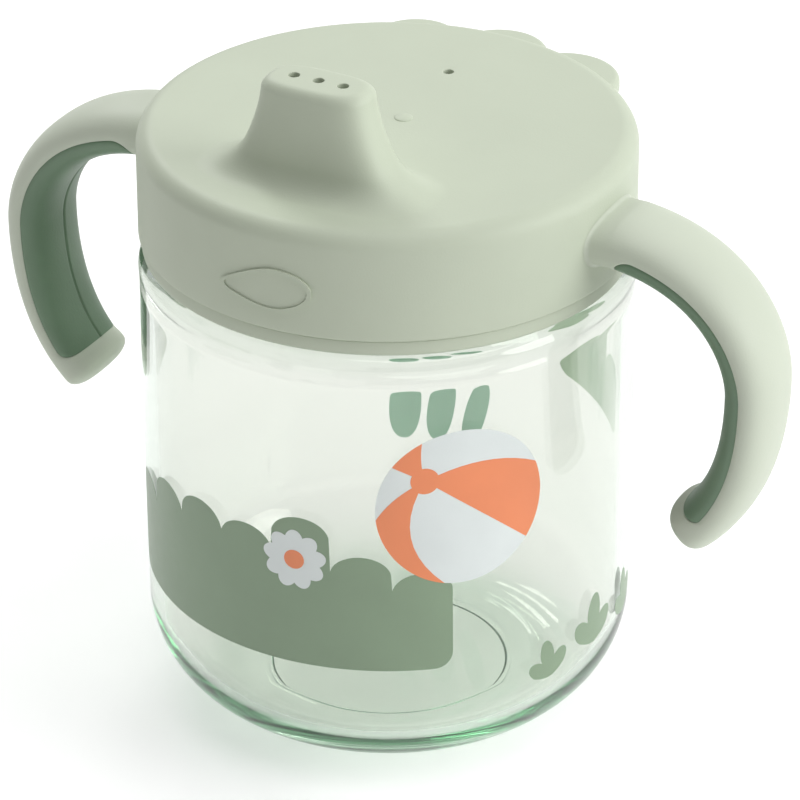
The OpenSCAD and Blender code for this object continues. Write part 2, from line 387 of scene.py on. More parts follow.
def soft_rubber(name, colour, roughness=0.5):
    """Soft-touch rubber: a matt surface with a little sheen and a fine pebble."""
    material, tree, shader, _ = new_material(name)
    low, high = shade_pair(colour, 0.06)
    tree.links.new(ramp(tree, noise(tree, 70, 4), low, high), shader.inputs["Base Color"])
    tree.links.new(remap(tree, noise(tree, 260, 3), roughness - 0.08, roughness + 0.06),
                   shader.inputs["Roughness"])
    bump(tree, shader, noise(tree, 2400, 3), 0.00003)
    shader.inputs["Sheen Weight"].default_value = 0.05
    shader.inputs["Sheen Roughness"].default_value = 0.45
    return material


def milky_silicone():
    """Translucent silicone of the valve and the seal."""
    material, tree, shader, _ = new_material("milky_silicone")
    tree.links.new(ramp(tree, noise(tree, 60, 3), (0.74, 0.77, 0.72), (0.84, 0.86, 0.82)),
                   shader.inputs["Base Color"])
    tree.links.new(remap(tree, noise(tree, 300, 3), 0.36, 0.5), shader.inputs["Roughness"])
    bump(tree, shader, noise(tree, 1800, 2), 0.00002)
    shader.inputs["Subsurface Weight"].default_value = 0.35
    shader.inputs["Subsurface Scale"].default_value = 0.003
    return material


def clear_plastic():
    """Clear plastic with a green tint that deepens where the light crosses more of it."""
    material, tree, shader, output = new_material("clear_plastic")
    shader.inputs["Base Color"].default_value = (0.899, 0.886, 0.867, 1)
    shader.inputs["Transmission Weight"].default_value = 1.0
    shader.inputs["IOR"].default_value = 1.5
    tree.links.new(remap(tree, noise(tree, 40, 1), 0.0, 0.004), shader.inputs["Roughness"])
    bump(tree, shader, noise(tree, 18, 0), 0.00002)
    volume = tree.nodes.new("ShaderNodeVolumeAbsorption")
    volume.inputs["Color"].default_value = (0.40, 0.72, 0.517, 1)
    volume.inputs["Density"].default_value = 42.0
    tree.links.new(volume.outputs["Volume"], output.inputs["Volume"])
    # On the way to a light, a ray passes straight through, so the cup's shadow is pale
    see_through = tree.nodes.new("ShaderNodeBsdfTransparent")
    see_through.inputs["Color"].default_value = (0.94, 0.94, 0.935, 1)
    path = tree.nodes.new("ShaderNodeLightPath")
    mix = tree.nodes.new("ShaderNodeMixShader")
    tree.links.new(path.outputs["Is Shadow Ray"], mix.inputs["Fac"])
    tree.links.new(shader.outputs["BSDF"], mix.inputs[1])
    tree.links.new(see_through.outputs["BSDF"], mix.inputs[2])
    tree.links.new(mix.outputs["Shader"], output.inputs["Surface"])
    return material


def printed_ink(name, colour, thin=0.0):
    """Screen-printed ink with a slight weave of the screen in its surface.

    thin is the share of the light that a thin coat lets through from behind.
    """
    material, tree, shader, output = new_material(name)
    low, high = shade_pair(colour, 0.025)
    tree.links.new(ramp(tree, noise(tree, 120, 4), low, high), shader.inputs["Base Color"])
    tree.links.new(remap(tree, noise(tree, 500, 3), 0.3, 0.42), shader.inputs["Roughness"])
    bump(tree, shader, noise(tree, 2600, 2), 0.000012)
    if thin:
        glow = tree.nodes.new("ShaderNodeBsdfTranslucent")
        glow.inputs["Color"].default_value = (*colour, 1)
        mix = tree.nodes.new("ShaderNodeMixShader")
        mix.inputs["Fac"].default_value = thin
        tree.links.new(shader.outputs["BSDF"], mix.inputs[1])
        tree.links.new(glow.outputs["BSDF"], mix.inputs[2])
        tree.links.new(mix.outputs["Shader"], output.inputs["Surface"])
    return material


# ---- threads ----

def thread_height(angle, z, z0):
    """How far the helical ridges stand out of their wall at an angle and a height."""
    height = 0.0
    for start in range(THREAD_STARTS):
        along = (angle - start * 360 / THREAD_STARTS) % 360
        if along > THREAD_ANGLE:
            continue
        off = abs(z - z0 - THREAD_LEAD * along / 360)
        flank = (THREAD_BASE_W / 2 - off) / ((THREAD_BASE_W - THREAD_CREST_W) / 2)
        fade = smooth(min(along, THREAD_ANGLE - along) / THREAD_FADE)
        height = max(height, THREAD_H * smooth(flank) * fade)
    return height


# ---- cup ----

def cup_wall_r(z):
    """Outer radius of the cup's wall at a height below its shoulder."""
    if z >= BASE_ROUND:
        t = (z - BASE_ROUND) / (SHOULDER_Z - BASE_ROUND)
        return CUP_BASE_R + CUP_DRAFT * min(1.0, t)
    drop = BASE_ROUND - z
    return CUP_BASE_R - BASE_ROUND + math.sqrt(BASE_ROUND ** 2 - drop ** 2)


def cup_profile():
    """The wall's outline, outside from the middle of the base to the rim, then back inside."""
    in_round = BASE_ROUND - CORNER_T
    in_base_r = CUP_BASE_R - WALL_T
    foot_r = CUP_BASE_R - BASE_ROUND
    groove_r = foot_r - 1
    floor_ring_r = in_base_r - in_round
    base_lift, groove, lip, neck_foot = 0.35, 0.8, 0.9, 1
    outside = line((0, base_lift), (groove_r - 2 * groove, base_lift), 8)
    outside += arc((groove_r - groove, groove), groove, 212, 300, 6)
    outside += line((groove_r + 0.2, 0.05), (foot_r, 0), 3)
    outside += arc((foot_r, BASE_ROUND), BASE_ROUND, -90, 0, 40)
    outside += line((CUP_BASE_R, BASE_ROUND), (CUP_R, SHOULDER_Z - SHOULDER_EDGE), 24)[1:]
    outside += arc((CUP_R - SHOULDER_EDGE, SHOULDER_Z - SHOULDER_EDGE), SHOULDER_EDGE, 0, 90, 16)
    outside += arc((NECK_R + neck_foot, SHOULDER_Z + neck_foot), neck_foot, 270, 180, 8)
    outside += line((NECK_R, SHOULDER_Z + neck_foot), (NECK_R, RIM_Z - lip), 88)[1:]
    outside += arc((NECK_R - lip, RIM_Z - lip), lip, 0, 90, 8)
    in_lip, throat, in_shoulder = 0.6, 2, 4
    throat_z, in_shoulder_z = SHOULDER_Z + 0.5, SHOULDER_Z - 6.5
    inside = arc((BORE_R + in_lip, RIM_Z - in_lip), in_lip, 90, 180, 6)
    inside += line((BORE_R, RIM_Z - 0.8), (BORE_R, throat_z), 10)
    inside += arc((BORE_R + throat, throat_z), throat, 180, 225, 6)
    inside += arc((CUP_R - WALL_T - in_shoulder, in_shoulder_z), in_shoulder, 45, 0, 10)
    inside += line((CUP_R - WALL_T, in_shoulder_z - 0.5), (in_base_r, FLOOR_T + in_round), 24)
    inside += arc((floor_ring_r, FLOOR_T + in_round), in_round, 0, -84, 36)
    inside += [(floor_ring_r + 1.0, FLOOR_T - 0.02), (floor_ring_r + 0.4, FLOOR_T - 0.3),
               (floor_ring_r - 0.3, FLOOR_T - 0.34)]
    inside += line((floor_ring_r - 1, FLOOR_T - 0.3), (0, FLOOR_T - 0.1), 8) + [(0, FLOOR_T - 0.1)]
    return outside + inside


def make_cup(material):
    neck_from, neck_to = SHOULDER_Z + 1.5, RIM_Z - 1

    def bulge(angle, r, z):
        on_neck = abs(r - NECK_R) < 0.01 and neck_from < z < neck_to
        return thread_height(angle, z, THREAD_Z) if on_neck else 0.0

    obj = new_object("clear_cup", turned_mesh("clear_cup", cup_profile(), loop=False, bulge=bulge))
    return finish_piece(obj, "cup", material, ["cup"], angle=40)


# ---- prints on the cup ----

def wrapped_mesh(name, outlines, radius, lift, thickness, step=1.2):
    """A thin film with the given outlines, wrapped round the axis.

    An outline's points are (distance round the wall, height), measured from the front. radius(z)
    is the wall's radius, lift the film's distance from it.
    """
    scale_r = radius(BASE_ROUND * 2)        # above the rounded base
    points, faces = [], []
    for outline in outlines:
        bm = bmesh.new()
        flat = [bm.verts.new((s, z, 0)) for s, z in outline]
        for tri in tessellate_polygon([[Vector((s, z, 0)) for s, z in outline]]):
            if len(set(tri)) == 3:
                bm.faces.new([flat[i] for i in tri])
        for axis, direction in ((0, (1, 0, 0)), (1, (0, 1, 0))):
            lo = min(p[axis] for p in outline)
            hi = max(p[axis] for p in outline)
            for i in range(1, int((hi - lo) / step) + 1):
                place = [0, 0, 0]
                place[axis] = lo + i * step
                geometry = bm.verts[:] + bm.edges[:] + bm.faces[:]
                bmesh.ops.bisect_plane(bm, geom=geometry, plane_co=place, plane_no=direction)
        bm.verts.ensure_lookup_table()
        bm.verts.index_update()
        count = len(bm.verts)
        for layer in (lift, lift + thickness):
            for v in bm.verts:
                r = radius(v.co.y) + layer
                a = v.co.x / scale_r
                points.append((r * math.sin(a), -r * math.cos(a), v.co.y))
        base = len(points) - 2 * count
        for f in bm.faces:
            ids = [v.index for v in f.verts]
            faces.append(tuple(base + count + i for i in ids))
            faces.append(tuple(base + i for i in reversed(ids)))
        for e in bm.edges:
            if len(e.link_faces) == 1:
                i, j = (v.index for v in e.verts)
                faces.append((base + i, base + j, base + count + j, base + count + i))
        bm.free()
    return new_mesh(name, points, faces)


def circle_outline(centre, r, n=64):
    return arc(centre, r, 0, 360, n)[:-1]


def leaf_outline(foot, length, width, lean, n=20):
    """A leaf with a round tip that grows from its foot, lean degrees from upright."""
    a = math.radians(lean)
    blunt, foot_share = 2.2, 0.55       # how square the ends are, and the foot's share of the width
    points = []
    for side in (1, -1):
        steps = range(n) if side == 1 else range(n, 0, -1)
        for i in steps:
            t = (1 - math.cos(math.pi * i / n)) / 2
            round_ends = math.sqrt(max(0.0, 1 - abs(2 * t - 1) ** blunt))
            across = side * width / 2 * (round_ends * (foot_share + (1 - foot_share) * smooth(1.5 * t)))
            points.append((foot[0] + length * t * math.sin(a) + across * math.cos(a),
                           foot[1] + length * t * math.cos(a) - across * math.sin(a)))
    return points


def sprig_outlines(foot, size, lean):
    """Three leaves from one foot."""
    return [leaf_outline(foot, size * k, size * 0.42, lean + turn)
            for k, turn in ((0.72, -48), (1.0, 0), (0.78, 44))]


def hedge_outline(left, right, foot_z, tops, corner=3.0):
    """A hedge: a level foot with rounded corners and one round scallop per top height."""
    width = (right - left) / len(tops)
    points = arc((left + corner, foot_z + corner), corner, 180, 270, 8)
    points += arc((right - corner, foot_z + corner), corner, 270, 360, 8)
    for i in reversed(range(len(tops))):
        centre = left + width * (i + 0.5)
        half = width / 2
        drop = half * 0.75
        points += [(centre + half * math.cos(a), tops[i] - drop + drop * math.sin(a))
                   for a in (math.pi * k / 16 for k in range(1, 16))]
    return points


def blade_outline(centre, length, width, lean, n=40):
    """A blade with blunt round ends, lean degrees from upright."""
    c, s = math.cos(math.radians(lean)), math.sin(math.radians(lean))
    points = [round_box(width / 2, length / 2, 2.3, 2 * math.pi * i / n) for i in range(n)]
    return [(centre[0] + x * c + y * s, centre[1] + y * c - x * s) for x, y in points]


def daisy_outlines(centre, r, petals=9):
    """Petals that overlap round their common foot."""
    return [leaf_outline(centre, r, r * 0.62, 360 * i / petals) for i in range(petals)]


def ball_sector(centre, r, hub, a0, a1, bend0, bend1, n=20):
    """A coloured sector of a beach ball, between two curved seams that leave the hub.

    Each seam's bend is how far it swings to its left, as a share of its length.
    """
    def seam(a, side):
        rim = (centre[0] + r * math.cos(math.radians(a)), centre[1] + r * math.sin(math.radians(a)))
        middle = ((hub[0] + rim[0]) / 2, (hub[1] + rim[1]) / 2)
        across = (-(rim[1] - hub[1]), rim[0] - hub[0])
        bend = (middle[0] + across[0] * side, middle[1] + across[1] * side)
        return [((1 - t) ** 2 * hub[0] + 2 * t * (1 - t) * bend[0] + t * t * rim[0],
                 (1 - t) ** 2 * hub[1] + 2 * t * (1 - t) * bend[1] + t * t * rim[1])
                for t in (i / 10 for i in range(11))]
    return seam(a0, bend0) + arc(centre, r, a0, a1, n)[1:-1] + seam(a1, bend1)[:0:-1]


def make_prints(green, pale, mist, white, orange):
    """Garden prints on the outside of the cup, one piece per ink."""
    under, middle, over, film = 0.01, 0.035, 0.06, 0.02     # lifts of the coats, and their thickness
    ball, ball_r = (31.4, 53.4), 13.8
    hub, hub_r = (25.4, 58.8), 2.3
    daisy, daisy_r, eye_r = (4.4, 43.2), 5.4, 1.7
    layers = {
        "print_green": (green, under, [
            hedge_outline(-39, 30, 24, (43, 46.5, 48, 47.5, 51, 45, 42)),
            *sprig_outlines((48, 17), 7, -8), *sprig_outlines((58.5, 18.5), 9, 6),
            *sprig_outlines((72, 17.5), 8, -4)]),
        "print_pale": (pale, under, [
            blade_outline((-109 - 6.6 * i, 29), 13.5, 5.8 - 0.9 * i, -3 - 6 * i) for i in range(3)]),
        "print_mist": (mist, under, [hedge_outline(84, 111, 43, (56, 62, 58))]),
        "print_white": (white, middle, [circle_outline(ball, ball_r), *daisy_outlines(daisy, daisy_r)]),
        "print_orange": (orange, over, [
            ball_sector(ball, ball_r, hub, -36, 22, 0.02, 0.26),
            ball_sector(ball, ball_r, hub, 118, 144, 0.1, 0.0),
            ball_sector(ball, ball_r, hub, 186, 258, -0.16, -0.4),
            circle_outline(hub, hub_r, 32), circle_outline(daisy, eye_r, 32)]),
    }
    for name, (material, lift, outlines) in layers.items():
        mesh = wrapped_mesh(name, outlines, cup_wall_r, lift, film)
        finish_piece(new_object(name, mesh), "cup", material)


# ---- seal ring and collar ----

def make_seal_ring(material):
    """A flat ring with a rounded lip on both faces."""
    r0, r1 = 31.9, SEAL_HI.x
    z0, z1 = SEAL_LO.z, SEAL_HI.z
    e = 0.55
    profile = arc((r0 + e, z0 + e), e, 180, 270, 6) + arc((r1 - e, z0 + e), e, 270, 360, 6)
    profile += arc((r1 - e, z1 - e), e, 0, 90, 6) + arc((r0 + e, z1 - e), e, 90, 180, 6)
    obj = new_object("seal", turned_mesh("seal", profile))
    return finish_piece(obj, "seal", material, ["seal_ring"])


def make_collar(material):
    """The threaded ring under the cap, whose lower band shows below the skirt."""
    bore = NECK_R + THREAD_H + 0.25
    band_r = COLLAR_HI.x
    body_r = SKIRT_IN_R - 0.05
    z0, z1 = COLLAR_LO.z, COLLAR_HI.z
    step_z = SKIRT_Z - 0.05
    mouth, foot, step, top = 0.4, 0.6, 0.3, 0.5         # radii of the rounded edges
    bead, bead_half = 0.3, 0.7
    profile = arc((bore + mouth, z0 + mouth), mouth, 180, 270, 5)
    profile += arc((band_r - foot, z0 + foot), foot, 270, 360, 8)
    profile += arc((band_r - step, step_z - step), step, 0, 90, 5) + [(body_r, step_z)]
    profile += [(body_r, BEAD_Z - bead_half), (body_r + bead, BEAD_Z), (body_r, BEAD_Z + bead_half)]
    profile += arc((body_r - top, z1 - top), top, 0, 90, 5)
    profile += [(bore, z1)] + line((bore, z1 - 0.5), (bore, z0 + 0.5), 104)

    def bulge(angle, r, z):
        inside = abs(r - bore) < 0.01 and z0 + 0.6 < z < z1 - 0.6
        shift = THREAD_LEAD / THREAD_STARTS / 2
        return -thread_height(angle, z, THREAD_Z + shift) if inside else 0.0

    obj = new_object("threaded_collar", turned_mesh("threaded_collar", profile, bulge=bulge))
    return finish_piece(obj, "lid", material, ["collar"])


# ---- cap ----

def spout_ring(z, spread, tip_a=SPOUT_TIP_A, tip_b=SPOUT_TIP_B, inset=0.0):
    """A ring round the spout. spread is (sides, front, back): how far it is wider than the tip."""
    ring = []
    for t in around():
        b = tip_b + (spread[1] if math.sin(t) < 0 else spread[2]) - inset
        x, y = round_box(tip_a + spread[0] - inset, b, SPOUT_SQUARE, t)
        ring.append((x, SPOUT_Y + y, z))
    return ring


def spout_spread(u):
    """How far the spout's sides, front and back flare, from its tip (u = 0) to the lid (u = 1)."""
    height = SPOUT_TOP - LID_TOP
    side_flare, front_flare, back_flare = 6.2, 1.0, 1.6
    side_fillet, end_fillet = 5.6, 3.6

    def fillet(r):
        rise = max(0.0, (u * height - (height - r)) / r)
        return r * (1 - math.sqrt(max(0.0, 1 - rise * rise)))

    return (side_flare * u ** 1.75 + fillet(side_fillet), front_flare * u + fillet(end_fillet),
            back_flare * u ** 1.5 + fillet(end_fillet))


def circle_ring(r, z):
    return [(r * math.cos(t), r * math.sin(t), z) for t in around()]


def oval_ring(half, r, z):
    """A ring in the shape of the valve's oval socket, round its centre."""
    return [(x, SOCKET_Y + y, z) for x, y in (oval_point(half, r, t) for t in around())]


def between(ring_a, ring_b, n):
    """Rings between two rings, without either of them."""
    return [[tuple(a + (b - a) * i / n for a, b in zip(p, q)) for p, q in zip(ring_a, ring_b)]
            for i in range(1, n)]


def cap_outside():
    """Rings from the middle of the spout's tip out to the lower edge of the skirt."""
    rings = []
    flat_a, flat_b = SPOUT_TIP_A - SPOUT_EDGE, SPOUT_TIP_B - SPOUT_EDGE
    for k in (0.02, 0.25, 0.5, 0.75):
        rings.append(spout_ring(SPOUT_TOP, (0, 0, 0), flat_a * k, flat_b * k))
    for i in range(11):
        t = math.radians(90 - 9 * i)
        rings.append(spout_ring(SPOUT_TOP - SPOUT_EDGE * (1 - math.sin(t)), (0, 0, 0),
                                inset=SPOUT_EDGE * (1 - math.cos(t))))
    steps = 44
    u0 = SPOUT_EDGE / (SPOUT_TOP - LID_TOP)
    for i in range(1, steps + 1):
        u = u0 + (1 - u0) * math.sin(math.pi / 2 * i / steps)
        spread = [s - s0 for s, s0 in zip(spout_spread(u), spout_spread(u0))]
        rings.append(spout_ring(SPOUT_TOP - u * (SPOUT_TOP - LID_TOP), spread))
    rim = circle_ring(LID_R - LID_ROUND, LID_TOP)
    rings += between(rings[-1], rim, 16)
    for r, z in arc((LID_R - LID_ROUND, LID_TOP - LID_ROUND), LID_ROUND, 90, 0, 16):
        rings.append(circle_ring(r, z))
    for z in (97, 94, 91, 88, 86, SKIRT_Z + 0.4):
        rings.append(circle_ring(LID_R, z))
    for r, z in arc((LID_R - 0.4, SKIRT_Z + 0.4), 0.4, 0, -90, 5)[1:]:
        rings.append(circle_ring(r, z))
    return rings


def cap_inside():
    """Rings from the skirt's inner edge up and inwards to the top of the drinking channel."""
    groove, groove_half, corner, ease = 0.35, 0.75, 0.5, 0.3
    rings = [circle_ring(r, z) for r, z in (
        (SKIRT_IN_R + ease, SKIRT_Z), (SKIRT_IN_R, SKIRT_Z + ease), (SKIRT_IN_R, BEAD_Z - groove_half),
        (SKIRT_IN_R + groove, BEAD_Z), (SKIRT_IN_R, BEAD_Z + groove_half), (SKIRT_IN_R, PLATE_Z - corner),
        (SKIRT_IN_R - corner, PLATE_Z), (SEAT_OUT_R, PLATE_Z), (SEAT_OUT_R, SEAT_Z + ease),
        (SEAT_OUT_R - ease, SEAT_Z), (SEAT_IN_R + ease, SEAT_Z), (SEAT_IN_R, SEAT_Z + ease),
        (SEAT_IN_R, PLATE_Z))]
    outer = oval_ring(SOCKET_HALF + SOCKET_WALL, SOCKET_R + SOCKET_WALL, PLATE_Z)
    rings += between(rings[-1], outer, 8) + [outer]
    e = 0.5
    for r, z in arc((SOCKET_WALL - e, SOCKET_Z + e), e, 0, -90, 4):
        rings.append(oval_ring(SOCKET_HALF + r, SOCKET_R + r, z))
    for r, z in arc((e, SOCKET_Z + e), e, 270, 180, 4):
        rings.append(oval_ring(SOCKET_HALF + r, SOCKET_R + r, z))
    channel_from = PLATE_Z - 0.3
    rings.append(oval_ring(SOCKET_HALF, SOCKET_R, channel_from))
    steps, spout_wall, ledge = 14, 2, 0.3
    top = SPOUT_TOP - spout_wall
    for i in range(steps + 1):
        u = i / steps
        a = SOCKET_HALF + (SPOUT_TIP_A - spout_wall - SOCKET_HALF) * u - ledge
        b = SOCKET_R + (SPOUT_TIP_B - spout_wall - SOCKET_R) * u - ledge
        z = channel_from + ledge + (top - channel_from - ledge) * u
        rings.append(spout_ring(z, (0, 0, 0), a, b))
    rings.append(spout_ring(top, (0, 0, 0), 0.1, 0.1))
    return rings


def lobe_mesh(size, azimuth):
    """A rounded tab at the lid's edge. azimuth is the angle from the back towards +X."""
    e = LOBE_EDGE
    profile = [(0, 0)] + line((1, 0), (size - e, 0), 3) + arc((size - e, e), e, -90, 0, 6)
    profile += arc((size - e, LOBE_T - e), e, 0, 90, 6) + [(0, LOBE_T)]
    mesh = turned_mesh("lobe", profile, loop=False, segments=96)
    a = math.radians(azimuth)
    return moved(mesh, LOBE_R * math.sin(a), LOBE_R * math.cos(a), LOBE_TOP - LOBE_T)


def drill_mesh(x, y, z0, z1, d, chamfer=0.14):
    """A cutter for a round hole with an eased upper edge."""
    r = d / 2
    profile = [(0, z0), (r, z0), (r, z1 - chamfer)]
    profile += arc((r + chamfer, z1 - chamfer), chamfer, 180, 90, 4)[1:]
    profile += [(r + chamfer, z1 + 1), (0, z1 + 1)]
    return moved(turned_mesh("drill", profile, loop=False, segments=40), x, y)


def vent_socket_mesh():
    """The round socket that the valve's small plug goes into."""
    outer, e = VENT_SOCKET_R + SOCKET_WALL, 0.4
    profile = arc((outer - e, SOCKET_Z + e), e, 0, -90, 4)
    profile += arc((VENT_SOCKET_R + e, SOCKET_Z + e), e, 270, 180, 4)
    profile += [(VENT_SOCKET_R, PLATE_Z + 0.5), (outer, PLATE_Z + 0.5)]
    return moved(turned_mesh("vent_socket", profile, segments=64), 0, VENT_Y)


def nub_mesh():
    """The small moulding mark near the middle of the lid."""
    x, y = 1.6, 2.5
    r, height, foot = 1.5, 0.35, LID_TOP - 0.4
    profile = [(r, foot)] + [(r * math.cos(a), LID_TOP + height * math.sin(a))
                             for a in (i * math.pi / 20 for i in range(10))]
    profile += [(0, LID_TOP + height), (0, foot)]
    return moved(turned_mesh("nub", profile, loop=False, segments=40), x, y)


def emblem_mesh(border, lift, thickness):
    """A plain leaf lying along the front of the skirt, smaller all round by border."""
    length, width, lean, foot_z = 16.0, 7.6, 84, 89.6
    foot = (-length / 2 + border, foot_z + border * 0.1)
    leaf = leaf_outline(foot, length - 2 * border, width - 2 * border, lean)
    return wrapped_mesh("emblem", [leaf], lambda z: LID_R, lift, thickness)


def make_cap(material):
    """The lid's shell, with its lobes, vent, drinking holes, emblem and windows for the handles."""
    obj = new_object("lid_cap", rings_mesh("lid_cap", cap_outside() + cap_inside()))
    for i, size in enumerate(LOBE_SIZES):
        unite(obj, lobe_mesh(size, LOBE_STEP * (i - 1) + LOBE_TURN))
    unite(obj, vent_socket_mesh())
    unite(obj, nub_mesh())
    unite(obj, emblem_mesh(border=0, lift=-0.2, thickness=0.55))
    cut(obj, emblem_mesh(border=0.65, lift=0.1, thickness=0.6))
    for i in (-1, 0, 1):
        cut(obj, drill_mesh(i * SIP_HOLE_PITCH, SPOUT_Y, SPOUT_TOP - 4, SPOUT_TOP, SIP_HOLE_D))
    cut(obj, drill_mesh(0, VENT_Y, PLATE_Z - 1, LID_TOP, VENT_D))
    for side in (-1, 1):
        cut(obj, tenon_mesh(side, 0.05, SKIRT_IN_R - 1))
    return finish_piece(obj, "lid", material, ["cap"])


# ---- handles ----

def handle_line(t):
    """Centre line of the right handle as (x, z), with t from 0 at its root to 1 at its tip."""
    widest = (HANDLE_REACH, HANDLE_WIDEST_Z)
    if t < HANDLE_WIDEST_T:
        return bezier([(HANDLE_ROOT_R, HANDLE_ROOT_Z), (HANDLE_ROOT_R + HANDLE_ROOT_ARM, HANDLE_ROOT_Z),
                       (HANDLE_REACH, HANDLE_WIDEST_Z + WIDEST_ARM_UP), widest], t / HANDLE_WIDEST_T)
    lean = math.radians(HANDLE_TIP_LEAN)
    above_tip = (HANDLE_TIP[0] + HANDLE_TIP_ARM * math.sin(lean),
                 HANDLE_TIP[1] + HANDLE_TIP_ARM * math.cos(lean))
    return bezier([widest, (HANDLE_REACH, HANDLE_WIDEST_Z - WIDEST_ARM_DOWN), above_tip, HANDLE_TIP],
                  (t - HANDLE_WIDEST_T) / (1 - HANDLE_WIDEST_T))


def beside_line(t, n, y, along=0.0):
    """A point beside the centre line: n towards the fingers, y across the handle, and along it."""
    near = 0.004
    a, b = handle_line(max(0.0, t - near)), handle_line(min(1.0, t + near))
    size = math.dist(a, b)
    d = ((b[0] - a[0]) / size, (b[1] - a[1]) / size)
    c = handle_line(t)
    return c[0] + n * d[1] + along * d[0], y, c[1] - n * d[0] + along * d[1]


def grip_floor(t):
    """How far from the centre line the grip's floor lies. Past its ends it is at the surface."""
    reach = min(1.0, max(0.0, min(t - GRIP_FROM, GRIP_TO - t) / GRIP_END_RUN))
    rise = 1 - math.sqrt(1 - (1 - reach) ** 2)
    half, proud = HANDLE_T / 2, 0.02
    return half - GRIP_DEPTH + (GRIP_DEPTH + proud) * rise


def boundary_angle(t):
    """Angle in the handle's section at which its surface meets the grip's floor."""
    share = grip_floor(t) / (HANDLE_T / 2)
    if share >= 1:
        return 0.0
    return math.acos(signed_power(share, HANDLE_SQUARE / 2))


def handle_point(t, angle, size=1.0, along=0.0, inset=0.0):
    """A point of the handle's surface, at an angle of its section from the finger side."""
    half_n = HANDLE_T / 2
    if math.cos(angle) > 0:
        half_n += HANDLE_SWELL * smooth((t - GRIP_TO) / (1 - GRIP_TO))
    half_w = (HANDLE_W - HANDLE_TAPER * t) / 2
    n, y = round_box(half_n - inset, half_w - inset, HANDLE_SQUARE, angle)
    return beside_line(t, n * size, y * size, along)


def eased(i, n):
    """Steps that crowd towards both ends."""
    return (1 - math.cos(math.pi * i / n)) / 2


def edge_inset(t, angle, border):
    """How far the surface falls away beside the joint between shell and grip."""
    depth, width, section_r = 0.28, 0.35, 6.0
    past = max(0.0, t - GRIP_TO, GRIP_FROM - t) * HANDLE_LENGTH
    off = math.hypot(abs(angle - border) * section_r, past)
    return depth * math.exp(-off / width)


def stations(start, end):
    """Places along the handle, closer together at the grip's ends."""
    steps, crowd, before, margin = 110, 22, 8, 1.05
    places = {start, end}
    places.update(start + (end - start) * i / steps for i in range(steps + 1))
    for k in range(-before, crowd + 1):
        off = math.copysign((k / crowd) ** 2, k) * GRIP_END_RUN * margin
        places.update((GRIP_FROM + off, GRIP_TO - off))
    return sorted(t for t in places if start <= t <= end)


def shell_ring(t, size=1.0, along=0.0):
    """The sage part of the section: its outer side, and the grip's floor as a straight chord."""
    border = boundary_angle(t)
    ring = []
    for i in range(SECTION_STEPS + 1):
        a = border + (2 * math.pi - 2 * border) * eased(i, SECTION_STEPS)
        near = min(a, 2 * math.pi - a)
        ring.append(handle_point(t, a, size, along, edge_inset(t, near, border)))
    return ring + line(ring[-1], ring[0], CHORD_STEPS)[1:]


def grip_ring(t):
    """The grip's part of the section, with a fine mould seam along its middle."""
    border = boundary_angle(t)
    seam_depth, seam_angle = 0.26, 0.017
    ring = []
    for i in range(SECTION_STEPS + 1):
        k = 2 * i / SECTION_STEPS - 1
        a = math.copysign(border * (1 - math.cos(math.pi * k)) / 2, k)
        seam = seam_depth * math.exp(-(a / seam_angle) ** 2) * smooth(border / 0.3)
        ring.append(handle_point(t, a, inset=GRIP_GAP + edge_inset(t, abs(a), border) + seam))
    return ring + line(ring[-1], ring[0], CHORD_STEPS)[1:]


def root_rings(first):
    """Rings from the skirt to the first ring of the sweep, with a small fillet on the skirt.

    They lie on the skirt's round wall at first, and change to the plane of the first ring.
    """
    fillet, steps, crowding = 0.6, 14, 1.6
    skirt = LID_R + 0.03
    rings = []
    for step in range(steps):
        k = (step / steps) ** crowding
        ring = []
        for x, y, z in first:
            off_y, off_z = y, z - HANDLE_ROOT_Z
            size = math.hypot(off_y, off_z)
            wall = math.sqrt(skirt ** 2 - y * y)
            reach = min(1.0, (x - wall) * k / fillet)
            grow = 1 + fillet * (1 - math.sqrt(1 - (1 - reach) ** 2)) / size
            yy, zz = off_y * grow, HANDLE_ROOT_Z + off_z * grow
            wall = math.sqrt(skirt ** 2 - yy * yy)
            ring.append((wall + (x - wall) * k, yy, zz))
        rings.append(ring)
    return rings


def tenon_mesh(side, grow, from_r):
    """The peg at a handle's root, or with grow the window for it."""
    x0, x1 = sorted((side * from_r, side * (LID_R + 1.6)))
    return block_mesh((x0, -TENON_W / 2 - grow, HANDLE_ROOT_Z - TENON_H / 2 - grow),
                      (x1, TENON_W / 2 + grow, HANDLE_ROOT_Z + TENON_H / 2 + grow))


def mirrored(mesh, side):
    """The mesh of a right-hand piece, mirrored for the left side (-1)."""
    if side < 0:
        mesh.transform(Matrix.Scale(-1, 4, Vector((1, 0, 0))))
        mesh.flip_normals()
    return mesh


def make_handle(side, name, material):
    """The hard shell: the root on the skirt, the sweep, a domed tip and a tenon into the cap."""
    sweep_from = 0.04
    sweep = [shell_ring(t) for t in stations(sweep_from, 1)]
    rings = root_rings(sweep[0]) + sweep
    dome, dome_steps, flatness = 2.7, 14, 2.6
    for i in range(1, dome_steps + 1):
        size, along = round_box(1, dome, flatness, math.radians(89 * i / dome_steps))
        rings.append(shell_ring(1, size, along))
    obj = new_object(name + "_arm", mirrored(rings_mesh(name, rings), side))
    unite(obj, tenon_mesh(side, 0, SKIRT_IN_R + 0.1))
    return finish_piece(obj, "lid", material, [name])


def make_grip(side, name, material):
    rings = [grip_ring(t) for t in stations(GRIP_FROM, GRIP_TO)]
    obj = new_object(name + "_pad", mirrored(rings_mesh(name, rings), side))
    return finish_piece(obj, "lid", material, [name])


# ---- valve ----

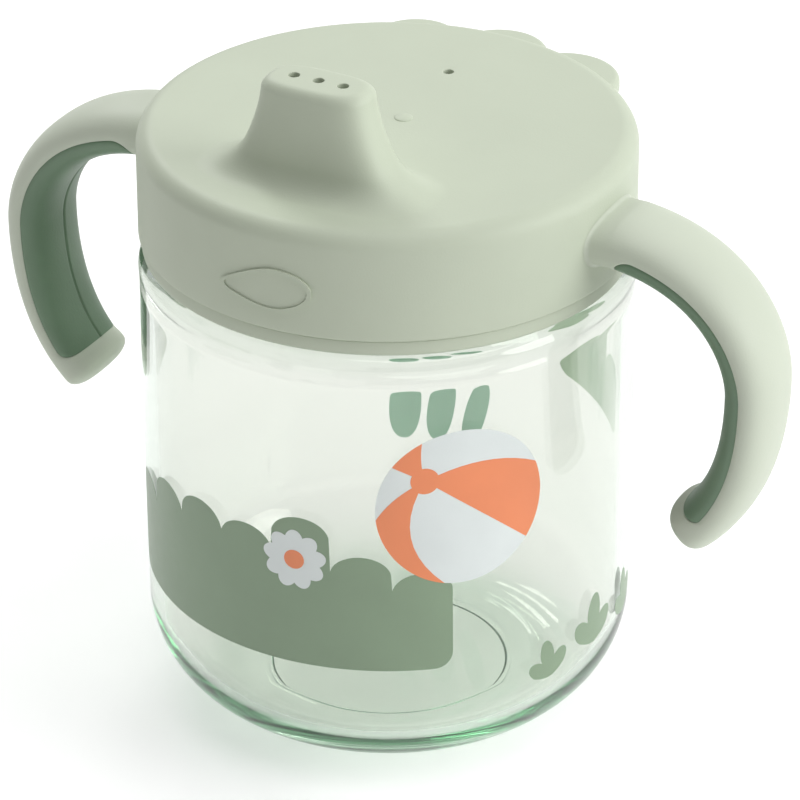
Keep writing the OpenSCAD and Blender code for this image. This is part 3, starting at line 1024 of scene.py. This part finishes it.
def oval_solid(half, r, z0, z1, edge=0.3):
    """A flat oval plate or plug with rounded edges."""
    rings = []
    edges = arc((edge, z0 + edge), edge, 270, 180, 4) + arc((edge, z1 - edge), edge, 180, 90, 4)
    for inset, z in edges:
        rings.append(oval_ring(half - inset, r - inset, z))
    return rings_mesh("oval", rings)


def round_solid(y, r, z0, z1, edge=0.3):
    """A round plate or plug with rounded edges."""
    profile = [(0, z0)] + arc((r - edge, z0 + edge), edge, -90, 0, 4)
    profile += arc((r - edge, z1 - edge), edge, 0, 90, 4) + [(0, z1)]
    return moved(turned_mesh("round", profile, loop=False, segments=64), 0, y)


def make_valve(material):
    """An oval plug with a slit for the spout, a small plug for the vent, and a strap."""
    strap_z, top_z = VALVE_LO.z, VALVE_HI.z
    strap_top = SOCKET_Z - 0.1
    gap, plug_wall, dome_t, flange, vent_flange = 0.1, 1.4, 0.8, 1.6, 1.8
    strap_half, vent_bore_r = 3.5, 1.6
    slit, slit_half, vent_slit_half = 0.3, 4, 1
    base = oval_solid(SOCKET_HALF + flange, SOCKET_R + flange, strap_z, strap_top)
    obj = new_object("valve_insert", base)
    unite(obj, oval_solid(SOCKET_HALF - gap, SOCKET_R - gap, strap_z + 0.2, top_z, 0.6))
    unite(obj, round_solid(VENT_Y, VENT_SOCKET_R + vent_flange, strap_z, strap_top))
    unite(obj, round_solid(VENT_Y, VENT_SOCKET_R - gap, strap_z + 0.2, top_z, 0.5))
    unite(obj, block_mesh((-strap_half, SOCKET_Y, strap_z + 0.05),
                          (strap_half, VENT_Y, strap_top - 0.05), 0.4))
    cut(obj, oval_solid(SOCKET_HALF - gap - plug_wall, SOCKET_R - gap - plug_wall,
                        strap_z - 1, top_z - dome_t, 0.4))
    cut(obj, round_solid(VENT_Y, vent_bore_r, strap_z - 1, top_z - dome_t, 0.2))
    for y, half in ((SOCKET_Y, slit_half), (VENT_Y, vent_slit_half)):
        cut(obj, block_mesh((-half, y - slit / 2, strap_z), (half, y + slit / 2, top_z + 1), 0.02))
    return finish_piece(obj, "valve", material, ["valve"])


# ---- studio ----

def make_floor():
    """A plain pale floor, far wider than the view."""
    half = 3000
    material, _, shader, _ = new_material("floor")
    shader.inputs["Base Color"].default_value = (0.93, 0.93, 0.93, 1)
    shader.inputs["Roughness"].default_value = 0.9
    shader.inputs["Specular IOR Level"].default_value = 0.1
    shader.inputs["Emission Color"].default_value = (1, 1, 1, 1)
    shader.inputs["Emission Strength"].default_value = 0.17
    corners = [(-half, -half, 0), (half, -half, 0), (half, half, 0), (-half, half, 0)]
    mesh = new_mesh("floor", corners, [(0, 1, 2, 3)])
    floor = new_object("floor", mesh)
    floor.data.materials.append(material)


def make_light(name, place, target, size, power):
    """A round soft light that points at its target."""
    data = bpy.data.lights.new(name, "AREA")
    data.shape = "DISK"
    data.size = size
    data.energy = power
    light = bpy.data.objects.new(name, data)
    bpy.context.scene.collection.objects.link(light)
    light.location = place
    light.rotation_euler = (Vector(target) - Vector(place)).to_track_quat("-Z", "Y").to_euler()


def make_world(front, back):
    """White light from all round that grows from the front (-Y) to the back (+Y)."""
    world = bpy.data.worlds.new("studio")
    world.use_nodes = True
    tree = world.node_tree
    background = tree.nodes["Background"]
    background.inputs["Color"].default_value = (1, 1, 1, 1)
    coords = tree.nodes.new("ShaderNodeTexCoord")
    parts = tree.nodes.new("ShaderNodeSeparateXYZ")
    tree.links.new(coords.outputs["Generated"], parts.inputs["Vector"])
    strength = tree.nodes.new("ShaderNodeMapRange")
    strength.inputs["From Min"].default_value = -1.0
    strength.inputs["To Min"].default_value = front
    strength.inputs["To Max"].default_value = back
    tree.links.new(parts.outputs["Y"], strength.inputs["Value"])
    tree.links.new(strength.outputs["Result"], background.inputs["Strength"])
    bpy.context.scene.world = world


def make_camera():
    """A long lens in front of the cup, to the right and above it."""
    data = bpy.data.cameras.new("camera")
    data.sensor_width = 36
    data.lens = 215.87
    camera = bpy.data.objects.new("camera", data)
    bpy.context.scene.collection.objects.link(camera)
    azimuth = math.radians(28.30)       # of the camera's place, from the front towards +X
    distance, height = 0.68547, 0.43472
    place = Vector((distance * math.sin(azimuth), -distance * math.cos(azimuth), height))
    heading = azimuth - math.radians(0.158)
    tilt = math.radians(29.233)
    roll = math.radians(-0.161)
    camera.matrix_world = (Matrix.Translation(place) @ Matrix.Rotation(heading, 4, "Z")
                           @ Matrix.Rotation(math.pi / 2 - tilt, 4, "X") @ Matrix.Rotation(roll, 4, "Z"))
    bpy.context.scene.camera = camera


def main():
    make_camera()
    make_floor()
    make_world(0.08, 0.8)
    make_light("side", (1.31, 0.25, 0.60), (0, 0, 0.06), size=1.0, power=10.8)
    make_light("top", (0.30, -0.05, 1.40), (0, 0, 0.05), size=1.2, power=7.6)
    make_light("back", (-0.8, 0.6, 0.9), (0, 0, 0.08), size=0.5, power=5.0)
    lid_plastic = moulded_plastic("lid_plastic", (0.515, 0.568, 0.452))
    handle_plastic = moulded_plastic("handle_plastic", (0.545, 0.592, 0.49))
    soft_grip = soft_rubber("soft_grip", (0.138, 0.222, 0.138))
    silicone = milky_silicone()
    make_cup(clear_plastic())
    green = printed_ink("green_ink", (0.235, 0.325, 0.215))
    pale = printed_ink("pale_ink", (0.70, 0.88, 0.78), thin=0.6)
    mist = printed_ink("mist_ink", (0.86, 0.95, 0.84), thin=0.6)
    white = printed_ink("white_ink", (0.72, 0.77, 0.76))
    orange = printed_ink("orange_ink", (0.83, 0.26, 0.11))
    make_prints(green, pale, mist, white, orange)
    make_seal_ring(silicone)
    make_collar(lid_plastic)
    make_cap(lid_plastic)
    for side, name in ((1, "right"), (-1, "left")):
        make_handle(side, name + "_handle", handle_plastic)
        make_grip(side, name + "_grip", soft_grip)
    make_valve(silicone)
    bpy.context.scene.view_settings.view_transform = "Standard"
    light_paths = bpy.context.scene.cycles
    light_paths.max_bounces = 32
    light_paths.transmission_bounces = 32
    light_paths.glossy_bounces = 32


main()
bpy.context.view_layer.update()
